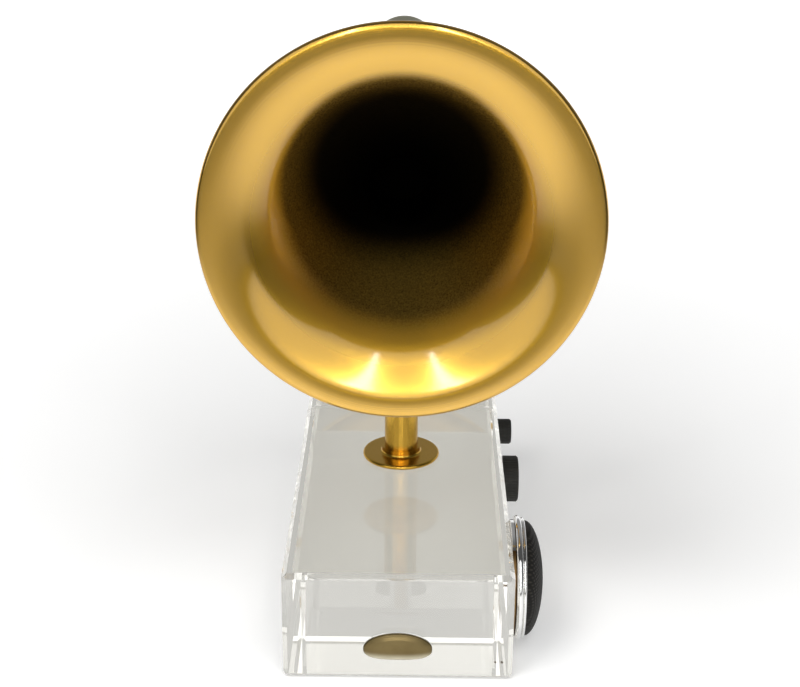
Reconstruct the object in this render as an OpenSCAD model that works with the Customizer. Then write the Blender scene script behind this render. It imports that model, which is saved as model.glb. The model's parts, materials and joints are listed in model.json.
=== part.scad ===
// Horn loudspeaker in gramophone form: a satin brass bell on a swivelling post, standing on a
// solid clear block with three rotary controls on its right side.
// Millimetres, +Z up, the bell faces -Y. The origin is the centre of the block's underside.

/* [Block] */
// Width of the clear block, side to side
block_w = 100; // [84:1:130]
// Length of the clear block, front to back
block_l = 210; // [192:1:260]
// Height of the clear block
block_h = 51; // [46:1:70]
// Polished chamfer on every edge of the block
block_chamfer = 2.2; // [0.6:0.1:4]
// Width of the arched inlay in the front face
inlay_w = 30; // [20:0.5:36]
// Height of the inlay's arch above its widest line
inlay_arch = 7.8; // [5:0.1:10]
// Drop of the inlay's flatter lower edge below that line
inlay_drop = 5.3; // [3:0.1:8]
// Widest line of the inlay above the block's underside
inlay_z = 15.3; // [12:0.1:24]
// Rise of the inlay's crown in front of the face
inlay_rise = 3; // [0.6:0.1:4]
// Depth of the inlay in the block
inlay_seat = 1.6; // [1:0.1:4]

/* [Post] */
// Axis of the post behind the front face
post_from_front = 120; // [105:1:135]
// Outside diameter of the post's tube
post_d = 16.2; // [13:0.1:22]
// Wall of the post's tube
post_wall = 2; // [1:0.1:3]
// Diameter of the flange on top of the block
flange_d = 37.5; // [32:0.5:50]
// Thickness of the flange
flange_t = 2.2; // [1.5:0.1:4]
// Wall of the hub round the foot of the post
hub_wall = 1.2; // [0.8:0.1:3]
// Height of the hub's straight lip above its cove
hub_lip = 1.8; // [0.8:0.1:6]
// Radius of the cove at the hub's foot
hub_cove = 1.2; // [0.6:0.1:4]
// Diameter of the spigot that holds the flange in the block
spigot_d = 12; // [8:0.5:16]
// Depth of the spigot in the block
spigot_h = 9; // [6:0.5:14]

/* [Horn] */
// Height of the horn's axis above the block
horn_rise = 144.5; // [132:0.5:170]
// Diameter of the mouth over the rolled rim
mouth_d = 169.5; // [140:0.5:190]
// Length of the horn from its mouth to the post's axis
horn_l = 90; // [76:1:110]
// Bore of the neck
neck_bore_d = 24.8; // [20:0.2:28]
// Wall of the bell
bell_wall = 1.2; // [0.8:0.1:2]
// Radius of the lip that turns out to the rim
lip_r = 38; // [28:0.5:44]
// Radius of the curve that leads into the neck
neck_r = 20; // [12:0.5:28]
// Diameter of the rolled rim
bead_d = 4.2; // [3:0.1:6]
// Diameter of the bell where the throat piece joins it
seam_d = 62; // [48:0.5:80]
// Diameter of the solder bead round that seam
seam_bead_d = 2.4; // [2:0.1:4]

/* [Head] */
// End of the neck in front of the post's axis
joint_ahead = 4; // [2:0.5:7]
// Wall of the boss round the neck
boss_wall = 3.4; // [2:0.1:5]
// Length of the boss proud of the head
boss_lip = 2; // [1:0.5:6]
// Metal of the head above and below the boss
head_shoulder = 2; // [1:0.5:6]
// Metal between the sound passage and the post's socket
socket_roof = 4; // [2:0.5:8]
// Depth of the socket on the post
socket_depth = 32; // [22:1:40]
// Wall of the socket's sleeve
sleeve_wall = 3.6; // [2:0.1:5]
// Thickness of the swivel washer on top of the post
washer_t = 1; // [0.6:0.1:2]

/* [Driver] */
// Diameter of the driver's stack of plates
stack_d = 36; // [34:0.5:44]
// Wall of the driver's can and dome
can_wall = 2; // [1.2:0.1:3]
// Height of the spigot that the can seats on
seat_h = 6; // [4:0.5:10]
// Diameter of the driver's throat
throat_d = 18; // [14:0.5:20]
// Thickness of the gasket under the driver
gasket_t = 0.8; // [0.5:0.1:1.5]
// Thickness of the phase plate
phase_t = 4; // [2:0.5:6]
// Height of the chamber between phase plate and diaphragm
chamber_h = 2; // [1.8:0.1:4]
// Thickness of the diaphragm
diaphragm_t = 0.5; // [0.3:0.1:0.8]
// Depth of the diaphragm's dome
diaphragm_dome = 1.3; // [0.6:0.1:1.5]
// Inside diameter of the voice coil
coil_d = 20; // [16:0.5:22]
// Thickness of the voice coil
coil_t = 0.6; // [0.4:0.1:1]
// Height of the voice coil
coil_h = 6; // [4.5:0.5:8]
// Clearance on each side of the voice coil
air_gap = 0.6; // [0.4:0.1:1]
// Thickness of the front plate
front_plate_t = 4; // [3:0.5:6]
// Thickness of the magnet
magnet_t = 9; // [7:0.5:14]
// Wall of the magnet ring
magnet_wall = 5; // [3:0.5:6]
// Thickness of the back plate
back_plate_t = 4; // [3:0.5:6]
// Height of the ledge in the can over the back plate
ledge_h = 2.2; // [1.5:0.1:4]
// Width of that ledge
ledge_w = 3; // [2:0.5:5]
// Width of the turned grooves round the can
groove_w = 1.6; // [0.8:0.1:2]
// Diameter of the ball on the cap
ball_d = 31; // [26:0.5:36]
// Height of the cap above the can
cap_h = 19.5; // [18.5:0.5:26]
// Chamfer round the cap's base
cap_edge = 0.8; // [0.4:0.1:1.1]

/* [Controls] */
// Height of the control axes above the rest face
control_h = 28.8; // [28.2:0.1:34]
// Diameter of the control spindles
shaft_d = 4; // [3:0.5:4.5]
// Step from a spindle out to the collar that keeps it in
collar_step = 1.1; // [0.6:0.1:1.3]
// Thickness of that collar
collar_t = 1.2; // [0.8:0.1:2]
// Wall of the spindle bushes
bush_wall = 0.9; // [0.6:0.1:1.2]
// Length of the bushes, out from the block's side
bush_len = 4.6; // [3.6:0.1:5.4]
// Thickness of each bush's face plate
plate_t = 1.4; // [0.6:0.1:1.8]
// Edge of the face plate inside the edge of its knob
plate_margin = 1.9; // [1.4:0.1:2.2]
// Thickness of a knob in front of its spindle
nose_t = 1.4; // [1:0.1:2]
// Diameter of the large domed knob over its ring
big_d = 56; // [40:0.5:57]
// Axis of the large knob behind the front face
big_from_front = 39; // [34:1:60]
// Thickness of the polished ring
ring_t = 4.4; // [4:0.1:6]
// Radial width of the polished ring
ring_w = 8; // [5:0.5:12]
// Height of the dome in front of the ring
dome_h = 8.7; // [6:0.1:14]
// Edge of the dome inside the edge of its ring
dome_margin = 2.1; // [1.6:0.1:4]
// Diameter of the middle knob
mid_d = 23.4; // [16:0.1:30]
// Length of the middle knob
mid_t = 7.7; // [7:0.1:14]
// Axis of the middle knob ahead of the back face
mid_from_back = 71; // [50:1:80]
// Diameter of the small knob
small_d = 13.6; // [13:0.1:18]
// Length of the small knob
small_t = 7.4; // [7:0.1:12]
// Axis of the small knob ahead of the back face
small_from_back = 13.5; // [12:0.5:24]
// Rounding at the outer edge of the two plain knobs
knob_edge = 0.8; // [0.6:0.1:2.5]
// Depth of the grip serrations
serration = 0.15; // [0.1:0.05:0.5]
// Width of one serration round the knob
serration_pitch = 1.5; // [1.2:0.1:3]

/* [Fits] */
// Radial clearance of a turning fit
run_clear = 0.05; // [0.02:0.01:0.09]
// Clearance between faces that turn past each other
face_clear = 0.3; // [0.15:0.05:0.5]
// Clearance above the swivel washer
thrust_clear = 0.1; // [0.05:0.05:0.2]

/* [Hidden] */
$fn = 96;
// Extra depth that carries a cut clear of a face
cut = 1;
// Points along the bell's lip, and along the curve into the neck
lip_steps = 24;
neck_steps = 12;
// Points round a quarter arc
arc_steps = 8;
// Points round a quarter of the ball or along the dome
dome_steps = 18;
// Points round the rolled bead
bead_steps = 24;
// Points round the inlay, and layers of its crown
oval_steps = 56;
crown_steps = 6;
// Thickness of one layer of the crown
layer_t = 0.01;
// Power that squares off the inlay's lower corners
corner_power = 0.7;

// Block
front_y = -block_l / 2;
back_y = block_l / 2;

// Post, socket and swivel
post_y = front_y + post_from_front;
axis_z = block_h + horn_rise;
neck_outer_d = neck_bore_d + 2 * bell_wall;
boss_d = neck_outer_d + 2 * boss_wall;
socket_top = axis_z - neck_bore_d / 2 - socket_roof;
socket_d = post_d + 2 * run_clear;
sleeve_d = socket_d + 2 * sleeve_wall;
sleeve_bottom = socket_top - socket_depth;
sleeve_chamfer = sleeve_wall / 3;
post_foot = block_h + flange_t;
post_top = socket_top - thrust_clear - washer_t;
post_bore_d = post_d - 2 * post_wall;

// Head and neck
head_d = stack_d + 2 * can_wall;
head_half = boss_d / 2 + head_shoulder;
head_top = axis_z + head_half;
cove_r = (head_d - sleeve_d) / 2;
boss_reach = head_d / 2 + boss_lip;
neck_len = boss_reach - joint_ahead;

// Driver stack, from the head upwards
gasket_z = head_top + seat_h;
phase_z = gasket_z + gasket_t;
spacer_z = phase_z + phase_t;
diaphragm_z = spacer_z + chamber_h;
front_plate_z = diaphragm_z + diaphragm_t;
magnet_z = front_plate_z + front_plate_t;
back_plate_z = magnet_z + magnet_t;
ledge_z = back_plate_z + back_plate_t;
can_top = ledge_z + ledge_h;
coil_outer_d = coil_d + 2 * coil_t;
pole_d = coil_d - 2 * air_gap;
plate_bore_d = coil_outer_d + 2 * air_gap;
magnet_bore_d = stack_d - 2 * magnet_wall;
ledge_d = stack_d - 2 * ledge_w;
port_d = throat_d / 6;
port_circle_d = throat_d - 2 * port_d;
port_count = 8;
groove_count = 3;

// Bell: radius first, then distance along its axis from the mouth. The lip and the neck curve are
// arcs about centres outside the wall, and the cone between them touches both.
bead_r = bead_d / 2;
neck_start = horn_l - boss_reach;
neck_end = horn_l - joint_ahead;
lip_centre = [mouth_d / 2 - bead_r, lip_r];
neck_centre = [neck_bore_d / 2 + neck_r, neck_start];
centre_step = neck_centre - lip_centre;
cone_turn = atan2(centre_step.y, centre_step.x) + acos((lip_r - neck_r) / norm(centre_step));
cone_a = cone_turn - 180;
back_r = lip_r - bell_wall;
bead_orbit = lip_r - bead_r;
bead_end = 180 + asin((back_r ^ 2 - bead_orbit ^ 2 - bead_r ^ 2) / (2 * bead_r * bead_orbit));
back_start = 270 - asin(bead_r * -cos(bead_end) / back_r);

// Controls, measured outwards from the block's right face
side_x = block_w / 2;
big_y = front_y + big_from_front;
mid_y = back_y - mid_from_back;
small_y = back_y - small_from_back;
knob_back = plate_t + face_clear;
collar_d = shaft_d + 2 * collar_step;
collar_room_d = collar_d + 2 * face_clear;
collar_room = collar_t + 2 * face_clear;
bush_bore_d = shaft_d + 2 * run_clear;
bush_d = collar_room_d + 2 * bush_wall;
hollow_d = bush_d + 2 * face_clear;
hollow_end = bush_len + face_clear;
ring_front = knob_back + ring_t;
ring_bore_d = big_d - 2 * ring_w;
broad_r = 0.34 * ring_t;
narrow_r = ring_t / 2 - broad_r;
big_reach = ring_front + dome_h / 3;
mid_reach = knob_back + mid_t - nose_t;
small_reach = knob_back + small_t - nose_t;

// Point of the cone's inner face, or of its outer face one wall out, at a radius of the inner face
function cone_point(r, out = 0) =
    let (start = lip_centre + lip_r * [cos(cone_turn), sin(cone_turn)])
    [r, start.y + (start.x - r) / tan(cone_a)] - out * [cos(cone_turn), sin(cone_turn)];

// Arc from angle a0 to a1 about a centre, with or without its first point
function arc(centre, r, a0, a1, steps = arc_steps, first = 0) =
    [for (i = [first : steps]) let (a = a0 + (a1 - a0) * i / steps) centre + r * [cos(a), sin(a)]];

// Rectangle with its four corners cut off
module chamfered_rectangle(w, h, c) {
    x = w / 2;
    y = h / 2;
    right = [[x - c, -y], [x, c - y], [x, y - c], [x - c, y]];
    left = [for (p = right) -p];
    polygon(concat(right, left));
}

// Solid ring standing on a height
module ring(outer_d, inner_d, z, h) {
    translate([0, 0, z]) difference() {
        cylinder(d = outer_d, h = h);
        translate([0, 0, -cut]) cylinder(d = inner_d, h = h + 2 * cut);
    }
}

// Places its children on the post's axis
module on_post() {
    translate([0, post_y, 0]) children();
}

// Places its children on a control axis, with their Z pointing out of the block's right face
module on_control(y) {
    translate([side_x, y, control_h]) rotate([0, 90, 0]) children();
}

// Places its children on the horn's axis, with their Z pointing from the mouth to the neck
module on_horn() {
    translate([0, post_y - horn_l, axis_z]) rotate([-90, 0, 0]) children();
}

// Places its children on the front face, with their Z pointing out of it
module on_front() {
    translate([0, front_y, inlay_z]) rotate([90, 0, 0]) children();
}

// Outline of the inlay: half an ellipse over a squarer lower edge
module inlay_outline() {
    polygon([
        for (i = [0 : oval_steps - 1])
            let (a = 360 * i / oval_steps, c = cos(a), s = sin(a))
            s >= 0
                ? [inlay_w / 2 * c, inlay_arch * s]
                : [inlay_w / 2 * sign(c) * abs(c) ^ corner_power, -inlay_drop * abs(s) ^ corner_power]
    ]);
}

// Block cut from one piece, with chamfers where each pair of faces meets
module block() {
    color([0.86, 0.9, 0.88, 0.4]) difference() {
        intersection() {
            linear_extrude(block_h) chamfered_rectangle(block_w, block_l, block_chamfer);
            translate([0, 0, block_h / 2]) rotate([90, 0, 0])
                linear_extrude(block_l, center = true) chamfered_rectangle(block_w, block_h, block_chamfer);
            translate([0, 0, block_h / 2]) rotate([90, 0, 90])
                linear_extrude(block_w, center = true) chamfered_rectangle(block_l, block_h, block_chamfer);
        }
        on_post() translate([0, 0, block_h - spigot_h]) cylinder(d = spigot_d, h = spigot_h + cut);
        on_front() translate([0, 0, -inlay_seat]) linear_extrude(inlay_seat + cut) inlay_outline();
    }
}

// Arched inlay with a crown that rises from its edge
module front_inlay() {
    color("darkkhaki") on_front() hull() {
        translate([0, 0, -inlay_seat]) linear_extrude(inlay_seat) inlay_outline();
        for (i = [1 : crown_steps - 1])
            let (a = 90 * i / crown_steps)
            translate([0, 0, inlay_rise * sin(a)]) linear_extrude(layer_t) scale(cos(a)) inlay_outline();
    }
}

// Flange with a half-round edge, the spigot that enters the block and the coved hub that holds the post
module flange() {
    rim = flange_d / 2 - flange_t / 2;
    color("goldenrod") on_post() {
        translate([0, 0, block_h - spigot_h]) cylinder(d = spigot_d, h = spigot_h);
        rotate_extrude() {
            translate([0, block_h]) square([rim, flange_t]);
            translate([rim, block_h + flange_t / 2]) circle(d = flange_t);
            translate([post_d / 2, post_foot]) difference() {
                union() {
                    square([hub_wall + hub_cove, hub_cove]);
                    square([hub_wall, hub_cove + hub_lip]);
                }
                translate([hub_wall + hub_cove, hub_cove]) circle(r = hub_cove);
            }
        }
    }
}

module post() {
    color("goldenrod") on_post() ring(post_d, post_bore_d, post_foot, post_top - post_foot);
}

module swivel_washer() {
    color("ivory") on_post() ring(post_d, post_bore_d, post_top, washer_t);
}

// Bush that stands on the block's side inside its knob, with room at its foot for the spindle's collar
module bush(y, knob_d) {
    color("darkgoldenrod") on_control(y) difference() {
        union() {
            cylinder(d = knob_d - 2 * plate_margin, h = plate_t);
            cylinder(d = bush_d, h = bush_len);
        }
        translate([0, 0, -cut]) cylinder(d = collar_room_d, h = collar_room + cut);
        cylinder(d = bush_bore_d, h = bush_len + cut);
    }
}

module bush_big() {
    bush(big_y, big_d);
}

module bush_mid() {
    bush(mid_y, mid_d);
}

module bush_small() {
    bush(small_y, small_d);
}

// Turned elbow: a sleeve on the post, a coved body, a seat for the can and a boss for the neck
module head() {
    color("darkgoldenrod") difference() {
        union() {
            on_post() rotate_extrude() polygon(concat(
                [[0, sleeve_bottom], [sleeve_d / 2 - sleeve_chamfer, sleeve_bottom]],
                [[sleeve_d / 2, sleeve_bottom + sleeve_chamfer]],
                arc([head_d / 2, axis_z - head_half - cove_r], cove_r, 180, 90),
                [[head_d / 2, head_top], [stack_d / 2, head_top], [stack_d / 2, gasket_z], [0, gasket_z]]
            ));
            on_horn() translate([0, 0, neck_start]) cylinder(d = boss_d, h = boss_reach);
        }
        on_post() translate([0, 0, sleeve_bottom - cut]) cylinder(d = socket_d, h = socket_depth + cut);
        on_horn() translate([0, 0, neck_start - cut]) cylinder(d = neck_outer_d, h = neck_len + cut);
        on_horn() translate([0, 0, neck_end - cut]) cylinder(d = neck_bore_d, h = joint_ahead + cut);
        on_post() translate([0, 0, axis_z]) sphere(d = neck_bore_d);
        on_post() translate([0, 0, axis_z]) cylinder(d = throat_d, h = gasket_z - axis_z + cut);
    }
}

// Spun bell of even wall: a cone, a lip that turns out from it and a rim rolled back on itself
module horn() {
    seam_r = seam_d / 2;
    color("gold") on_horn() rotate_extrude() polygon(concat(
        [cone_point(seam_r)],
        arc(lip_centre, lip_r, cone_turn, 270, lip_steps),
        arc([lip_centre.x, bead_r], bead_r, -90, bead_end, bead_steps, first = 1),
        arc(lip_centre, back_r, back_start, cone_turn, lip_steps, first = 1),
        [cone_point(seam_r, bell_wall)]
    ));
}

// Throat piece: the cone goes on to the straight neck, with a solder bead round its front end
module throat() {
    seam = cone_point(seam_d / 2, bell_wall);
    color("gold") on_horn() rotate_extrude() polygon(concat(
        [cone_point(seam_d / 2)],
        arc(neck_centre, neck_r, cone_turn, 180, neck_steps),
        [[neck_bore_d / 2, neck_end], [neck_outer_d / 2, neck_end]],
        arc(neck_centre, neck_r - bell_wall, 180, cone_turn, neck_steps),
        arc(seam, seam_bead_d / 2, cone_a + 90, cone_a),
        [seam]
    ));
}

module gasket() {
    color("dimgray") on_post() ring(stack_d, throat_d, gasket_z, gasket_t);
}

// Plate with a ring of sound ports under the diaphragm
module phase_plate() {
    color("silver") on_post() translate([0, 0, phase_z]) difference() {
        cylinder(d = stack_d, h = phase_t);
        translate([0, 0, -cut]) cylinder(d = port_d, h = phase_t + 2 * cut);
        for (i = [0 : port_count - 1])
            rotate([0, 0, 360 * i / port_count]) translate([port_circle_d / 2, 0, -cut])
                cylinder(d = port_d, h = phase_t + 2 * cut);
    }
}

module spacer_ring() {
    color("gray") on_post() ring(stack_d, plate_bore_d, spacer_z, chamber_h);
}

// Thin disc with a shallow dome that hangs towards the phase plate
module diaphragm() {
    shares = [for (i = [0 : arc_steps]) i / arc_steps];
    dish = [for (s = shares) [coil_d / 2 * s, -diaphragm_dome * (1 - s ^ 2)]];
    rise = [for (i = [0 : arc_steps]) dish[arc_steps - i] + [0, diaphragm_t]];
    color("orange") on_post() translate([0, 0, diaphragm_z]) rotate_extrude()
        polygon(concat(dish, [[stack_d / 2, 0], [stack_d / 2, diaphragm_t]], rise));
}

module voice_coil() {
    color("chocolate") on_post() ring(coil_outer_d, coil_d, front_plate_z, coil_h);
}

module front_plate() {
    color("lightsteelblue") on_post() ring(stack_d, plate_bore_d, front_plate_z, front_plate_t);
}

module magnet() {
    color("darkslategray") on_post() ring(stack_d, magnet_bore_d, magnet_z, magnet_t);
}

// Back plate with the pole that stands in the voice coil
module back_plate() {
    pole_end = front_plate_z + air_gap;
    color("lightsteelblue") on_post() {
        translate([0, 0, back_plate_z]) cylinder(d = stack_d, h = back_plate_t);
        translate([0, 0, pole_end]) cylinder(d = pole_d, h = back_plate_z - pole_end);
    }
}

// Can with turned grooves, which seats on the head and clamps the stack with its inner ledge
module driver_can() {
    color("goldenrod") on_post() difference() {
        translate([0, 0, head_top]) cylinder(d = head_d, h = can_top - head_top);
        translate([0, 0, head_top - cut]) cylinder(d = stack_d, h = ledge_z - head_top + cut);
        translate([0, 0, ledge_z - cut]) cylinder(d = ledge_d, h = ledge_h + 2 * cut);
        for (i = [1 : groove_count])
            translate([0, 0, head_top + (can_top - head_top) * i / (groove_count + 1)])
                rotate_extrude() translate([head_d / 2, 0]) circle(d = groove_w);
    }
}

// Cap with a hollow ball on its base, and a spigot inside the can's ledge
module dome_cap() {
    ball_r = ball_d / 2;
    hollow_r = ball_r - can_wall;
    spigot_r = ledge_d / 2 - can_wall;
    centre = [0, cap_h - ball_r];
    color("goldenrod") on_post() translate([0, 0, can_top]) rotate_extrude() polygon(concat(
        arc(centre, hollow_r, 90, 0, dome_steps),
        [[hollow_r, can_wall], [spigot_r, can_wall], [spigot_r, -ledge_h], [ledge_d / 2, -ledge_h]],
        [[ledge_d / 2, 0], [head_d / 2, 0], [head_d / 2, can_wall - cap_edge]],
        [[head_d / 2 - cap_edge, can_wall], [ball_r, can_wall]],
        arc(centre, ball_r, 0, 90, dome_steps)
    ));
}

// Spindle with the collar that its bush keeps in
module spindle(y, reach) {
    color("silver") on_control(y) translate([0, 0, face_clear]) {
        cylinder(d = collar_d, h = collar_t);
        cylinder(d = shaft_d, h = reach - face_clear);
    }
}

module spindle_big() {
    spindle(big_y, big_reach);
}

module spindle_mid() {
    spindle(mid_y, mid_reach);
}

module spindle_small() {
    spindle(small_y, small_reach);
}

// Hollow round a bush, and the blind bore beyond it that takes the spindle
module knob_bore(reach) {
    translate([0, 0, knob_back - cut]) cylinder(d = hollow_d, h = hollow_end - knob_back + cut);
    translate([0, 0, knob_back]) cylinder(d = shaft_d, h = reach - knob_back);
}

// Polished ring with a broad half-round bead and a narrow one beside the dome
module ring_big() {
    edge = big_d / 2 - broad_r;
    color("whitesmoke") on_control(big_y) translate([0, 0, knob_back]) rotate_extrude() {
        translate([ring_bore_d / 2, 0]) square([ring_w - broad_r, ring_t]);
        translate([edge, broad_r]) circle(r = broad_r);
        translate([edge, ring_t - narrow_r]) circle(r = narrow_r);
    }
}

// Domed grip with a hub that fills the ring
module knob_big() {
    dome_edge = big_d / 2 - dome_margin;
    turns = [for (i = [0 : dome_steps]) 90 * i / dome_steps];
    color([0.17, 0.16, 0.13]) on_control(big_y) difference() {
        union() {
            translate([0, 0, knob_back]) cylinder(d = ring_bore_d, h = ring_t);
            translate([0, 0, ring_front]) rotate_extrude()
                polygon(concat([[0, 0]], [for (a = turns) [dome_edge * cos(a), dome_h * sin(a)]]));
        }
        knob_bore(big_reach);
    }
}

// Round grip with serrations along its side and a smooth nose with a rounded edge
module plain_knob(y, d, t, reach) {
    teeth = round(PI * d / serration_pitch);
    rim = [
        for (i = [0 : 2 * teeth - 1])
            let (a = 180 * i / teeth, r = d / 2 - serration * (i % 2))
            r * [cos(a), sin(a)]
    ];
    nose_r = d / 2 - 2 * serration;
    corner = [nose_r - knob_edge, t - knob_edge];
    color([0.15, 0.15, 0.12]) on_control(y) difference() {
        translate([0, 0, knob_back]) union() {
            linear_extrude(t - knob_edge) polygon(rim);
            rotate_extrude() polygon(concat([[0, 0], [nose_r, 0]], arc(corner, knob_edge, 0, 90), [[0, t]]));
        }
        knob_bore(reach);
    }
}

module knob_mid() {
    plain_knob(mid_y, mid_d, mid_t, mid_reach);
}

module knob_small() {
    plain_knob(small_y, small_d, small_t, small_reach);
}

block();
front_inlay();
flange();
post();
swivel_washer();
bush_big();
bush_mid();
bush_small();
head();
horn();
throat();
gasket();
phase_plate();
spacer_ring();
diaphragm();
voice_coil();
front_plate();
magnet();
back_plate();
driver_can();
dome_cap();
spindle_big();
ring_big();
knob_big();
spindle_mid();
knob_mid();
spindle_small();
knob_small();
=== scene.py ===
import json
import math

import bmesh
import bpy
from mathutils import Matrix, Vector


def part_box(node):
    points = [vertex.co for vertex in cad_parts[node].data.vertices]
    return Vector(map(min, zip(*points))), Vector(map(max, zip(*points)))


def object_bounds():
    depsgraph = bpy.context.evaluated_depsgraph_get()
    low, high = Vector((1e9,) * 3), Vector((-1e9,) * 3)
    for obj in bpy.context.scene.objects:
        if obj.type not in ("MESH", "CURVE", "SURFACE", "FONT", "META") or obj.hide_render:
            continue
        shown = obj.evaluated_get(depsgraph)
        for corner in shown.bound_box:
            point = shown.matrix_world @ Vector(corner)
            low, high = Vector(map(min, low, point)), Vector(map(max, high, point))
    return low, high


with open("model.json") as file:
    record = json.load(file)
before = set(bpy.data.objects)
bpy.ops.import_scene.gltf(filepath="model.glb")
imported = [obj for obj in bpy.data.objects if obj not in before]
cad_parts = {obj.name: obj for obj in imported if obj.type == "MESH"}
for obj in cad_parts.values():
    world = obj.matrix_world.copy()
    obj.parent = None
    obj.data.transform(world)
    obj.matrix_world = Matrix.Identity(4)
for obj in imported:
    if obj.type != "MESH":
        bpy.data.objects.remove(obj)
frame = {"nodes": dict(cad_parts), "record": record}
cad_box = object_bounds()
nodes = frame["nodes"]
scene = bpy.context.scene

# Camera, in metres and degrees, as the photograph was taken
CAMERA_AT = Vector((0.0046, -0.6943, 0.3908))
CAMERA_PITCH = 21.61
CAMERA_YAW = -0.45
CAMERA_ROLL = 0.45
FOCAL_PIXELS = 1586
FRAME_PIXELS = 800
SENSOR_WIDTH = 36

# Places on a noise's range between which a colour goes from its deep to its pale tone
SLOW_TONE = (0.35, 0.65)
GRAIN_TONE = (0.3, 0.7)
KNURL_TONE = (0.1, 0.9)

# Sizes of the noises, as repeats per metre, and strengths of the grain in the surface
BRASS_TONE_SCALE = 14
METAL_TONE_SCALE = 160
SATIN_GRAIN_SCALE = 1800
SATIN_GRAIN_DEPTH = 0.00003
BRASS_GRAIN = 0.35
MOULDED_GRAIN = 0.3

# Bell: radii in metres between which its inside is painted from gold to brown and from brown to black, a
# painted shade deepening towards the throat, with the heights of their middles above the axis
GOLD_R = 0.0555
BROWN_R = 0.0445
EDGE_GOLD_R = 0.0545
EDGE_BROWN_R = 0.0485
EDGE_LIFT = 0.011
BLACK_START_R = 0.050
BLACK_R = 0.034
BLACK_LIFT = 0.016
BELL_GOLD = ((0.61, 0.345, 0.022), (0.66, 0.375, 0.027))
# The brown and the black are painted shade, not the brass's own colour
BELL_SHADE_BROWN = ((0.08, 0.048, 0.008), (0.19, 0.12, 0.022))
PASSAGE_SHADE_BLACK = (0.004, 0.003, 0.002, 1)

# Bell: radii in metres between which its spun lip goes over to a blasted grain, with the finish of each
SPUN_R = 0.066
BLASTED_R = 0.056
SPUN_ROUGHNESS = 0.22
BLASTED_ROUGHNESS = 0.42
RING_SCALE = 1600
RING_LOW = 0.35
RING_HIGH = 0.65
BELL_GRAIN_SCALE = 1300
BELL_GRAIN = 0.6
BELL_GRAIN_DEPTH = 0.0001
BELL_COAT = 0.9
BELL_COAT_ROUGHNESS = 0.1
BELL_COAT_IOR = 1.8

# Head: middle height of its sound passage and reach of its painted shade, in metres
HORN_AXIS_Z = 0.1955
PASSAGE_R = 0.0145
HEAD_GOLD = ((0.60, 0.38, 0.09), (0.68, 0.44, 0.12))
HEAD_ROUGHNESS = 0.25
PASSAGE_ROUGHNESS = 0.9

# Clear block
BLOCK_IOR = 1.68
BLOCK_TINT = ((0.925, 0.91, 0.845), (0.965, 0.955, 0.895))
BLOCK_CLOUD_SCALE = 6
BLOCK_POLISH_SCALE = 220
BLOCK_ROUGHNESS = 0.012

# Large control: knurl of its grip, and its collar, which is brown below the block's top and bright chrome
# and polished above it
KNURL_SCALE = 210
KNURL_BLACK = ((0.005, 0.0045, 0.0035), (0.026, 0.023, 0.018))
KNURL_SPECULAR = 0.3
KNURL_GROOVE_ROUGHNESS = 0.75
KNURL_CREST_ROUGHNESS = 0.6
KNURL_BUMP = 0.5
KNURL_DEPTH = 0.0004
BLOCK_TOP = 0.0505
COLLAR_BROWN = ((0.15, 0.085, 0.03), (0.2, 0.12, 0.045))
CHROME = ((0.80, 0.80, 0.79), (0.86, 0.86, 0.85))
COLLAR_ROUGHNESS = 0.35
COLLAR_POLISH = 0.08

# Inlay: heights above its lowest point between which its lower edge is painted pale, a painted reflection of
# the floor
REFLECTION_LOW = 0.001
REFLECTION_HIGH = 0.005
INLAY_OLIVE = ((0.145, 0.107, 0.045), (0.19, 0.142, 0.062))
INLAY_REFLECTION_PALE = ((0.54, 0.49, 0.36), (0.64, 0.59, 0.45))
INLAY_TONE_SCALE = 90
INLAY_GRAIN_SCALE = 900
INLAY_GRAIN_DEPTH = 0.00005
INLAY_ROUGHNESS = (0.3, 0.42)

# Slots of plain make: deep tone, pale tone, least and most roughness, then size and depth of the grain
BRASSES = {
    "satin_brass": (
        (0.60, 0.355, 0.05), (0.68, 0.41, 0.065), 0.18, 0.27, SATIN_GRAIN_SCALE, SATIN_GRAIN_DEPTH,
    ),
    "aged_brass": ((0.48, 0.47, 0.35), (0.58, 0.57, 0.44), 0.35, 0.5, 900, 0.00005),
    "dark_brass": ((0.34, 0.24, 0.09), (0.42, 0.30, 0.12), 0.3, 0.42, 1500, 0.00004),
}
PLAIN_METALS = {
    "chrome": (*CHROME, 0.05, 0.1),
    "steel": ((0.5, 0.5, 0.5), (0.62, 0.62, 0.62), 0.25, 0.4),
    "grey_alloy": ((0.55, 0.55, 0.56), (0.66, 0.66, 0.67), 0.35, 0.5),
    "copper_wire": ((0.55, 0.22, 0.1), (0.70, 0.32, 0.16), 0.25, 0.4),
}
MOULDINGS = {
    "black_plastic": ((0.009, 0.0085, 0.0065), (0.017, 0.016, 0.012), 0.5, 0.65, 900, 0.00005),
    "magnet": ((0.05, 0.05, 0.055), (0.09, 0.09, 0.1), 0.6, 0.8, 400, 0.0001),
    "diaphragm_polymer": ((0.5, 0.28, 0.07), (0.6, 0.36, 0.1), 0.3, 0.45, 300, 0.00005),
    "white_polymer": ((0.74, 0.73, 0.68), (0.82, 0.81, 0.76), 0.4, 0.55, 500, 0.00005),
    "black_rubber": ((0.015, 0.015, 0.015), (0.03, 0.03, 0.03), 0.7, 0.85, 500, 0.0001),
}

# Seats: pieces let into the clear block or set on it, and the hair's breadth by which they stand clear of it
SEATED = ("front_inlay", "flange", "bush_big", "bush_mid", "bush_small")
HAIR = 0.00003

# Turned pieces that are shaded smooth, and the angle in degrees above which an edge stays sharp
TURNED = ("horn", "throat", "dome_cap", "knob_big", "front_inlay")
SHARP_ANGLE = 35
WELD_REACH = 1e-6

# Floor: half its width and how far it lies under the object, in metres, and its paper
FLOOR_HALF = 6.0
FLOOR_DROP = 0.0002
FLOOR_ROUGHNESS = 0.3
PAPER = ((0.90, 0.90, 0.895), (0.92, 0.92, 0.915))
PAPER_SCALE = 3

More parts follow.
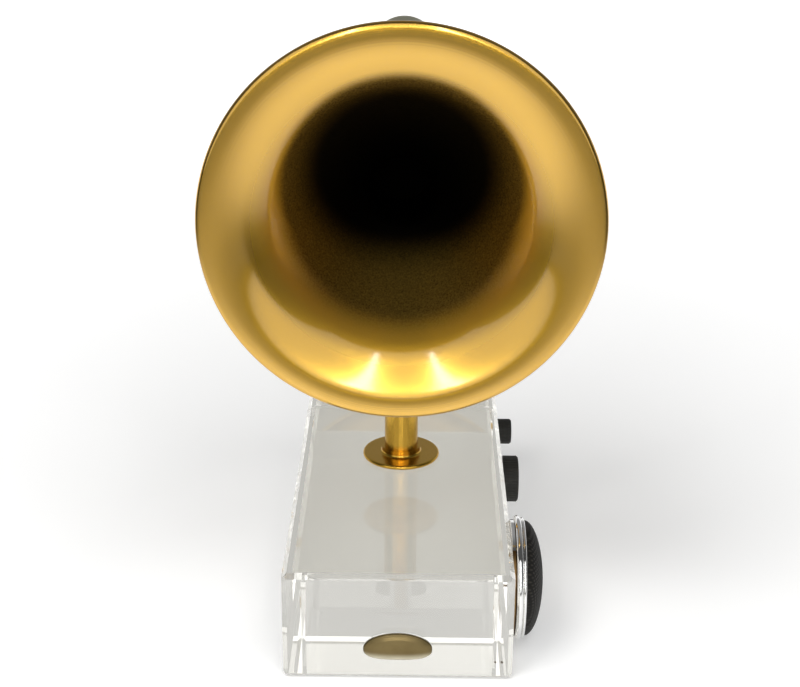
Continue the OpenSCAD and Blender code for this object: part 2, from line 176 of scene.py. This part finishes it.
# Floor: distances from the object between which metal shows it fading to grey, how much sooner that is to
# the sides, and how far behind the object the fade stops, in metres
FADE_START_R = 0.22
FADE_END_R = 0.78
FADE_ACROSS = 1.1
FADE_BACK = 0.4
FADE_GREY = (0.17, 0.17, 0.17, 1)

# Floor: how much it glows at some distances from the object, in metres, and the least that the clear block
# shows of it
FLOOR_REACH = 1.5
FLOOR_GLOW = ((0.15, 0.23), (0.4, 0.45), (0.65, 0.68), (1.3, 1.0))
FLOOR_GLOW_THROUGH = 0.34

# Room: its brightness in front of the object and behind it, and the Y of the directions where each is full
ROOM_FRONT = 0.08
ROOM_BACK = 0.3
ROOM_FRONT_Y = -0.1
ROOM_BACK_Y = 0.6

# Room: its brightness to the camera and through the clear block
ROOM_SEEN = 1.0
ROOM_THROUGH = 0.6

# White backdrop that metal shows behind the object: Y and Z of the directions where it is full, and Z
# where it ends
BACKDROP_FULL_Y = 0.4
BACKDROP_FULL_Z = 0.12
BACKDROP_END_Z = 0.24

# Times that light may turn inside the clear block, whose edges go black with few
GLASS_BOUNCES = 256

# Lamps: two ends and width in metres, watts, and whether polished metal shows it
LAMP_TARGET = Vector((0, -0.02, 0.12))
LAMPS = {
    "key": ((-0.61, -0.66, 0.94), (-0.32, -0.39, 1.23), 0.5, 6.4, False),
    "fill": ((0.46, -0.76, 0.96), (0.23, -0.42, 1.24), 0.5, 3.0, False),
    "front": ((-0.08, -1.35, 0.06), (-0.08, -1.1, 1.9), 3.0, 16.5, True),
    "strip_left": ((-0.07, -0.85, 0.17), (-0.345, -0.85, 1.28), 0.04, 1.5, True),
    "strip_right": ((0.05, -0.85, 0.17), (0.25, -0.85, 1.28), 0.04, 1.5, True),
}


# Node trees

class Nodes:
    """A node tree, with short ways to add to it."""

    def __init__(self, tree):
        self.tree = tree

    def add(self, kind, **values):
        node = self.tree.nodes.new(kind)
        for key, value in values.items():
            if key in node.inputs:
                node.inputs[key].default_value = value
            else:
                setattr(node, key, value)
        return node

    def feed(self, source, socket):
        if isinstance(source, (int, float, tuple)):
            socket.default_value = source
        else:
            self.tree.links.new(source, socket)

    def math(self, operation, first, second):
        node = self.add("ShaderNodeMath", operation=operation)
        self.feed(first, node.inputs[0])
        self.feed(second, node.inputs[1])
        return node.outputs[0]

    def vector(self, operation, *sources):
        node = self.add("ShaderNodeVectorMath", operation=operation)
        for source, socket in zip(sources, node.inputs):
            self.feed(source, socket)
        single = operation in ("LENGTH", "DISTANCE", "DOT_PRODUCT")
        return node.outputs["Value" if single else "Vector"]

    def axes(self, source):
        node = self.add("ShaderNodeSeparateXYZ")
        self.feed(source, node.inputs["Vector"])
        return node.outputs

    def scaled(self, source, low, high, reach=1):
        """Value from 0 to reach, brought evenly to low to high."""
        node = self.add("ShaderNodeMapRange")
        node.inputs["From Max"].default_value = reach
        node.inputs["To Min"].default_value = low
        node.inputs["To Max"].default_value = high
        self.feed(source, node.inputs["Value"])
        return node.outputs["Result"]

    def span(self, source, start, end, low=0, high=1):
        """Value from start to end, brought softly to low to high."""
        node = self.add("ShaderNodeMapRange", interpolation_type="SMOOTHSTEP")
        node.inputs["From Min"].default_value = start
        node.inputs["From Max"].default_value = end
        node.inputs["To Min"].default_value = low
        node.inputs["To Max"].default_value = high
        self.feed(source, node.inputs["Value"])
        return node.outputs["Result"]

    def light_path(self):
        """The kinds of ray, and the share that metal alone mirrors, since glass passes glossy rays too."""
        rays = self.add("ShaderNodeLightPath").outputs
        return rays, self.math("SUBTRACT", rays["Is Glossy Ray"], rays["Is Transmission Ray"])


class Material(Nodes):
    """A node material with one Principled shader."""

    def __init__(self, name):
        self.data = bpy.data.materials.new(name)
        self.data.use_nodes = True
        super().__init__(self.data.node_tree)
        self.shader = self.tree.nodes["Principled BSDF"]

    def set(self, **values):
        for key, value in values.items():
            self.feed(value, self.shader.inputs[key.replace("_", " ")])
        return self

    def where(self):
        return self.add("ShaderNodeTexCoord").outputs["Object"]

    def place(self, stretch=(1, 1, 1)):
        mapping = self.add("ShaderNodeMapping", Scale=stretch)
        self.feed(self.where(), mapping.inputs["Vector"])
        return mapping.outputs["Vector"]

    def noise(self, scale, detail=2):
        node = self.add("ShaderNodeTexNoise", Scale=scale, Detail=detail)
        self.feed(self.place(), node.inputs["Vector"])
        return node.outputs["Fac"]

    def ramp(self, source, places, colours):
        node = self.add("ShaderNodeValToRGB")
        elements = node.color_ramp.elements
        while len(elements) < len(places):
            elements.new(0.5)
        for element, place, colour in zip(elements, places, colours):
            element.position = place
            element.color = (*colour, 1)
        self.feed(source, node.inputs["Fac"])
        return node.outputs["Color"]

    def mix(self, share, first, second):
        node = self.add("ShaderNodeMix", data_type="RGBA")
        self.feed(share, node.inputs["Factor"])
        self.feed(first, node.inputs[6])
        self.feed(second, node.inputs[7])
        return node.outputs[2]

    def rough(self, source, low, high):
        return self.set(Roughness=self.scaled(source, low, high))

    def bump(self, source, strength, depth):
        node = self.add("ShaderNodeBump", Strength=strength, Distance=depth)
        self.feed(source, node.inputs["Height"])
        return self.set(Normal=node.outputs["Normal"])


# Materials

def brass(name, deep, pale, low, high, grain, depth):
    """Satin brass: a blasted grain in the surface and slow changes of tone."""
    made = Material(name).set(Metallic=1.0)
    tone = made.noise(BRASS_TONE_SCALE)
    fine = made.noise(grain)
    made.set(Base_Color=made.ramp(tone, SLOW_TONE, (deep, pale)))
    made.rough(fine, low, high)
    return made.bump(fine, BRASS_GRAIN, depth).data


def plain_metal(name, deep, pale, low, high):
    """Plain metal with a fine mottle."""
    made = Material(name).set(Metallic=1.0)
    tone = made.noise(METAL_TONE_SCALE, detail=3)
    made.set(Base_Color=made.ramp(tone, GRAIN_TONE, (deep, pale)))
    return made.rough(tone, low, high).data


def moulded(name, deep, pale, low, high, grain, depth):
    """Moulded polymer, rubber or ferrite with a fine matt grain."""
    made = Material(name)
    fine = made.noise(grain)
    made.set(Base_Color=made.ramp(fine, GRAIN_TONE, (deep, pale)))
    made.rough(fine, low, high)
    return made.bump(fine, MOULDED_GRAIN, depth).data


def clear_block_material():
    """Polished crystal with a faint warm cast and hairline polish marks."""
    made = Material("clear_block").set(Transmission_Weight=1.0, IOR=BLOCK_IOR)
    cloud = made.noise(BLOCK_CLOUD_SCALE, detail=1)
    made.set(Base_Color=made.ramp(cloud, GRAIN_TONE, BLOCK_TINT))
    polish = made.noise(BLOCK_POLISH_SCALE)
    return made.rough(polish, 0, BLOCK_ROUGHNESS).data


def bell_brass_material():
    """Lacquered brass: spun rings on the lip, a blasted grain inside it, and painted shade towards the
    throat.
    """
    made = Material("bell_brass")
    made.set(Metallic=1.0, Coat_Roughness=BELL_COAT_ROUGHNESS, Coat_IOR=BELL_COAT_IOR)
    lo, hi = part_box("horn")
    axis_x = (lo.x + hi.x) / 2
    axis_z = (lo.z + hi.z) / 2
    where = made.add("ShaderNodeTexCoord").outputs
    flat = made.vector("MULTIPLY", where["Object"], (1, 0, 1))
    across = made.vector("SUBTRACT", flat, (axis_x, 0, axis_z))
    radius = made.vector("LENGTH", across)
    inside = made.math("LESS_THAN", made.vector("DOT_PRODUCT", where["Normal"], across), 0)
    edge_r = made.vector("DISTANCE", flat, (axis_x, 0, axis_z + EDGE_LIFT))
    black_r = made.vector("DISTANCE", flat, (axis_x, 0, axis_z + BLACK_LIFT))
    tone = made.noise(BRASS_TONE_SCALE)
    fine = made.noise(BELL_GRAIN_SCALE)
    gold = made.ramp(tone, SLOW_TONE, BELL_GOLD)
    # Painted shade: brown from the middle radii, black towards the throat, both with their middles lifted
    # above the axis
    brown = made.ramp(fine, GRAIN_TONE, BELL_SHADE_BROWN)
    middle = made.span(radius, GOLD_R, BROWN_R)
    edge = made.span(edge_r, EDGE_GOLD_R, EDGE_BROWN_R)
    deep = made.math("MULTIPLY", made.math("MAXIMUM", middle, edge), inside)
    black = made.math("MULTIPLY", made.span(black_r, BLACK_START_R, BLACK_R), inside)
    made.set(Base_Color=made.mix(black, made.mix(deep, gold, brown), PASSAGE_SHADE_BLACK))
    made.set(Coat_Weight=made.scaled(deep, BELL_COAT, 0))
    rings = made.add("ShaderNodeTexNoise", noise_dimensions="1D", Scale=RING_SCALE, Detail=2)
    made.feed(radius, rings.inputs["W"])
    blasted = made.span(radius, SPUN_R, BLASTED_R)
    grain = made.add("ShaderNodeMix", data_type="FLOAT")
    made.feed(blasted, grain.inputs["Factor"])
    made.feed(made.scaled(rings.outputs["Fac"], RING_LOW, RING_HIGH), grain.inputs[2])
    made.feed(fine, grain.inputs[3])
    made.rough(blasted, SPUN_ROUGHNESS, BLASTED_ROUGHNESS)
    return made.bump(grain.outputs[0], BELL_GRAIN, BELL_GRAIN_DEPTH).data


def head_brass_material():
    """Satin brass of the elbow, painted black inside its sound passage as painted shade."""
    made = Material("head_brass").set(Metallic=1.0)
    lo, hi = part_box("post")
    elbow = ((lo.x + hi.x) / 2, (lo.y + hi.y) / 2, HORN_AXIS_Z)
    # Painted shade: black within the passage's reach of its middle
    inside = made.math("LESS_THAN", made.vector("DISTANCE", made.where(), elbow), PASSAGE_R)
    tone = made.noise(BRASS_TONE_SCALE)
    fine = made.noise(SATIN_GRAIN_SCALE)
    gold = made.ramp(tone, SLOW_TONE, HEAD_GOLD)
    made.set(Base_Color=made.mix(inside, gold, PASSAGE_SHADE_BLACK))
    made.rough(inside, HEAD_ROUGHNESS, PASSAGE_ROUGHNESS)
    return made.bump(fine, BRASS_GRAIN, SATIN_GRAIN_DEPTH).data


def knurled_grip_material():
    """Black grip with a fine square knurl over its dome, its grooves painted darker than its crests as
    painted shade.
    """
    made = Material("black_grip").set(Specular_IOR_Level=KNURL_SPECULAR)
    waves = []
    for direction in ("Y", "Z"):
        wave = made.add("ShaderNodeTexWave", Scale=KNURL_SCALE, bands_direction=direction)
        made.feed(made.place(), wave.inputs["Vector"])
        waves.append(wave.outputs["Fac"])
    knurl = made.math("MULTIPLY", *waves)
    # Painted shade: the knurl's grooves darker than its crests
    made.set(Base_Color=made.ramp(knurl, KNURL_TONE, KNURL_BLACK))
    made.rough(knurl, KNURL_GROOVE_ROUGHNESS, KNURL_CREST_ROUGHNESS)
    return made.bump(knurl, KNURL_BUMP, KNURL_DEPTH).data


def collar_material():
    """Collar behind the large control: brown below the block's top, bright chrome and polished above it."""
    made = Material("collar").set(Metallic=1.0)
    # Brown below the block's top, bright chrome above it
    above = made.math("GREATER_THAN", made.axes(made.where())["Z"], BLOCK_TOP)
    tone = made.noise(METAL_TONE_SCALE, detail=3)
    brown = made.ramp(tone, GRAIN_TONE, COLLAR_BROWN)
    bright = made.ramp(tone, GRAIN_TONE, CHROME)
    made.set(Base_Color=made.mix(above, brown, bright))
    return made.rough(above, COLLAR_ROUGHNESS, COLLAR_POLISH).data


def inlay_material():
    """Olive brass of the arched inlay, with a painted reflection of the floor as a pale band along its lower
    edge.
    """
    made = Material("inlay_brass").set(Metallic=1.0)
    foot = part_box("front_inlay")[0].z
    # Painted reflection: pale along the lower edge, olive above
    floor_reflection = made.span(made.axes(made.where())["Z"], foot + REFLECTION_HIGH, foot + REFLECTION_LOW)
    tone = made.noise(INLAY_TONE_SCALE, detail=3)
    fine = made.noise(INLAY_GRAIN_SCALE)
    olive = made.ramp(tone, SLOW_TONE, INLAY_OLIVE)
    pale = made.ramp(tone, SLOW_TONE, INLAY_REFLECTION_PALE)
    made.set(Base_Color=made.mix(floor_reflection, olive, pale))
    made.rough(fine, *INLAY_ROUGHNESS)
    return made.bump(fine, BRASS_GRAIN, INLAY_GRAIN_DEPTH).data


def dress_nodes():
    """Gives every node the material of its slot, and three nodes one of their own."""
    slots = {
        "clear_block": clear_block_material(),
        "bell_brass": bell_brass_material(),
        "black_grip": knurled_grip_material(),
    }
    for make, table in ((brass, BRASSES), (plain_metal, PLAIN_METALS), (moulded, MOULDINGS)):
        for name, values in table.items():
            slots[name] = make(name, *values)
    for part in frame["record"]["subparts"]:
        mesh = nodes[part["node"]].data
        mesh.materials.clear()
        mesh.materials.append(slots[part["material_slot"]])
    nodes["head"].data.materials[0] = head_brass_material()
    nodes["bush_big"].data.materials[0] = collar_material()
    nodes["front_inlay"].data.materials[0] = inlay_material()


# Surfaces

def draw_in(name):
    """Draws a node's surface in by a hair, so that it doesn't share a face with the clear block."""
    modifier = nodes[name].modifiers.new("seat", "DISPLACE")
    modifier.strength = -HAIR
    modifier.mid_level = 0


def smooth(name):
    """Shades a turned node as one smooth surface, without the bands of its mesh."""
    node = nodes[name]
    weld = node.modifiers.new("weld", "WELD")
    weld.merge_threshold = WELD_REACH
    split = node.modifiers.new("corners", "EDGE_SPLIT")
    split.split_angle = math.radians(SHARP_ANGLE)
    node.modifiers.new("smooth", "WEIGHTED_NORMAL")


# Floor, light and camera

def floor_material():
    """Pale paper with a soft glow, which metal shows fading to grey in front of the object."""
    made = Material("floor").set(Roughness=FLOOR_ROUGHNESS)
    paper = made.noise(PAPER_SCALE, detail=4)
    pale = made.ramp(paper, GRAIN_TONE, PAPER)
    where = made.where()
    rays, metal = made.light_path()
    front = made.span(made.axes(where)["Y"], FADE_BACK, 0)
    narrow = made.vector("LENGTH", made.place((FADE_ACROSS, 1, 1)))
    away = made.math("MULTIPLY", front, made.span(narrow, FADE_START_R, FADE_END_R))
    fade = made.math("MULTIPLY", away, metal)
    made.set(Base_Color=made.mix(fade, pale, FADE_GREY))
    reach = made.scaled(made.vector("LENGTH", where), 0, 1, FLOOR_REACH)
    places = [distance / FLOOR_REACH for distance, _ in FLOOR_GLOW]
    glows = [(glow, glow, glow) for _, glow in FLOOR_GLOW]
    far = made.ramp(reach, places, glows)
    glow = made.math("MULTIPLY", far, made.math("SUBTRACT", 1, fade))
    mirrored = made.math("MAXIMUM", rays["Is Camera Ray"], rays["Is Glossy Ray"])
    seen = made.math("MAXIMUM", mirrored, rays["Is Transmission Ray"])
    shown = made.math("MULTIPLY", glow, seen)
    passed = made.math("MULTIPLY", rays["Is Transmission Ray"], FLOOR_GLOW_THROUGH)
    made.set(Emission_Color=(1, 1, 1, 1), Emission_Strength=made.math("MAXIMUM", shown, passed))
    return made.data


def add_floor():
    mesh = bpy.data.meshes.new("floor")
    shape = bmesh.new()
    bmesh.ops.create_grid(shape, x_segments=1, y_segments=1, size=FLOOR_HALF)
    bmesh.ops.translate(shape, verts=shape.verts, vec=(0, 0, cad_box[0][2] - FLOOR_DROP))
    shape.to_mesh(mesh)
    shape.free()
    mesh.materials.append(floor_material())
    floor = bpy.data.objects.new("floor", mesh)
    scene.collection.objects.link(floor)


def add_lamp(name, start, end, width, watts, mirrored):
    """Flat lamp from one end to the other, which looks at the object and may show in its polish."""
    start = Vector(start)
    end = Vector(end)
    middle = (start + end) / 2
    along = (end - start).normalized()
    away = middle - LAMP_TARGET
    away -= along * away.dot(along)
    away.normalize()
    lamp = bpy.data.lights.new(name, "AREA")
    lamp.shape = "RECTANGLE"
    lamp.size = width
    lamp.size_y = (end - start).length
    lamp.energy = watts
    lamp_object = bpy.data.objects.new(name, lamp)
    turn = Matrix((along.cross(away), along, away)).transposed()
    lamp_object.matrix_world = Matrix.Translation(middle) @ turn.to_4x4()
    lamp_object.visible_camera = False
    lamp_object.visible_glossy = mirrored
    lamp_object.visible_transmission = False
    scene.collection.objects.link(lamp_object)


def add_world():
    """Dim room with a low white backdrop behind the object, which metal shows, all white to the camera."""
    world = bpy.data.worlds.new("studio")
    world.use_nodes = True
    made = Nodes(world.node_tree)
    axes = made.axes(made.add("ShaderNodeTexCoord").outputs["Generated"])
    rays, metal = made.light_path()
    room = made.span(axes["Y"], ROOM_FRONT_Y, ROOM_BACK_Y, ROOM_FRONT, ROOM_BACK)
    behind = made.math("MULTIPLY", metal, made.span(axes["Y"], 0, BACKDROP_FULL_Y))
    backdrop = made.math("MULTIPLY", behind, made.span(axes["Z"], BACKDROP_END_Z, BACKDROP_FULL_Z))
    shown = made.math("MAXIMUM", room, backdrop)
    for ray, strength in (("Is Transmission Ray", ROOM_THROUGH), ("Is Camera Ray", ROOM_SEEN)):
        shown = made.math("MAXIMUM", shown, made.math("MULTIPLY", rays[ray], strength))
    background = world.node_tree.nodes["Background"]
    made.feed((1, 1, 1, 1), background.inputs["Color"])
    made.feed(shown, background.inputs["Strength"])
    scene.world = world


def add_camera():
    pitch = math.radians(CAMERA_PITCH)
    yaw = math.radians(CAMERA_YAW)
    roll = math.radians(CAMERA_ROLL)
    look = Vector((math.sin(yaw) * math.cos(pitch), math.cos(yaw) * math.cos(pitch), -math.sin(pitch)))
    level = Vector((math.cos(yaw), -math.sin(yaw), 0))
    upright = level.cross(look)
    right = level * math.cos(roll) + upright * math.sin(roll)
    up = upright * math.cos(roll) - level * math.sin(roll)
    data = bpy.data.cameras.new("camera")
    data.sensor_width = SENSOR_WIDTH
    data.lens = FOCAL_PIXELS / FRAME_PIXELS * SENSOR_WIDTH
    camera = bpy.data.objects.new("camera", data)
    turn = Matrix((right, up, -look)).transposed()
    camera.matrix_world = Matrix.Translation(CAMERA_AT) @ turn.to_4x4()
    scene.collection.objects.link(camera)
    scene.camera = camera


dress_nodes()
for seated in SEATED:
    draw_in(seated)
for turned in TURNED:
    smooth(turned)
add_floor()
for lamp_name, lamp_values in LAMPS.items():
    add_lamp(lamp_name, *lamp_values)
add_world()
add_camera()
scene.view_settings.view_transform = "Standard"
scene.cycles.max_bounces = GLASS_BOUNCES
scene.cycles.transmission_bounces = GLASS_BOUNCES
scene.cycles.glossy_bounces = GLASS_BOUNCES
